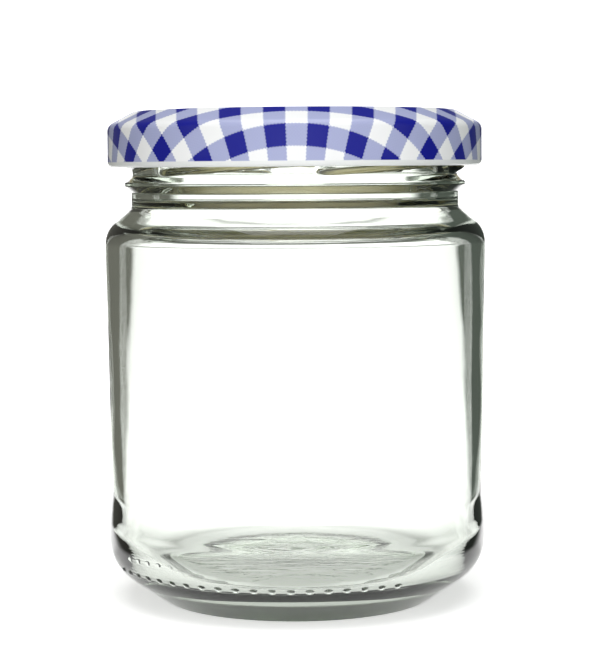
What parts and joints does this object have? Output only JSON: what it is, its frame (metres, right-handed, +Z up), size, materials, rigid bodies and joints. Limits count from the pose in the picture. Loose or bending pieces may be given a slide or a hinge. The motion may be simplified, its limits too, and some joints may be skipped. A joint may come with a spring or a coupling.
{
  "type": "jam jar",
  "caption": "Empty round preserve jar in clear glass with a rolled heel, label panel, rounded shoulder and threaded neck, shut by a gingham-printed twist lid.",
  "frame": {"origin": "centre of the bearing ring, on the surface the jar stands on", "axes": "+Z up the jar's axis towards the lid; -Y is the front seen in the picture; +X to the viewer's right"},
  "size_m": [0.0674, 0.0674, 0.0865],
  "materials": {
    "clear_glass": "fire-polished, faintly green where the glass is thick",
    "printed_tinplate": "blue and white gingham print under gloss varnish, white edge"
  },
  "bodies": {
    "root": {"glass_jar": "clear_glass", "twist_lid": "printed_tinplate"}
  },
  "joints": []
}
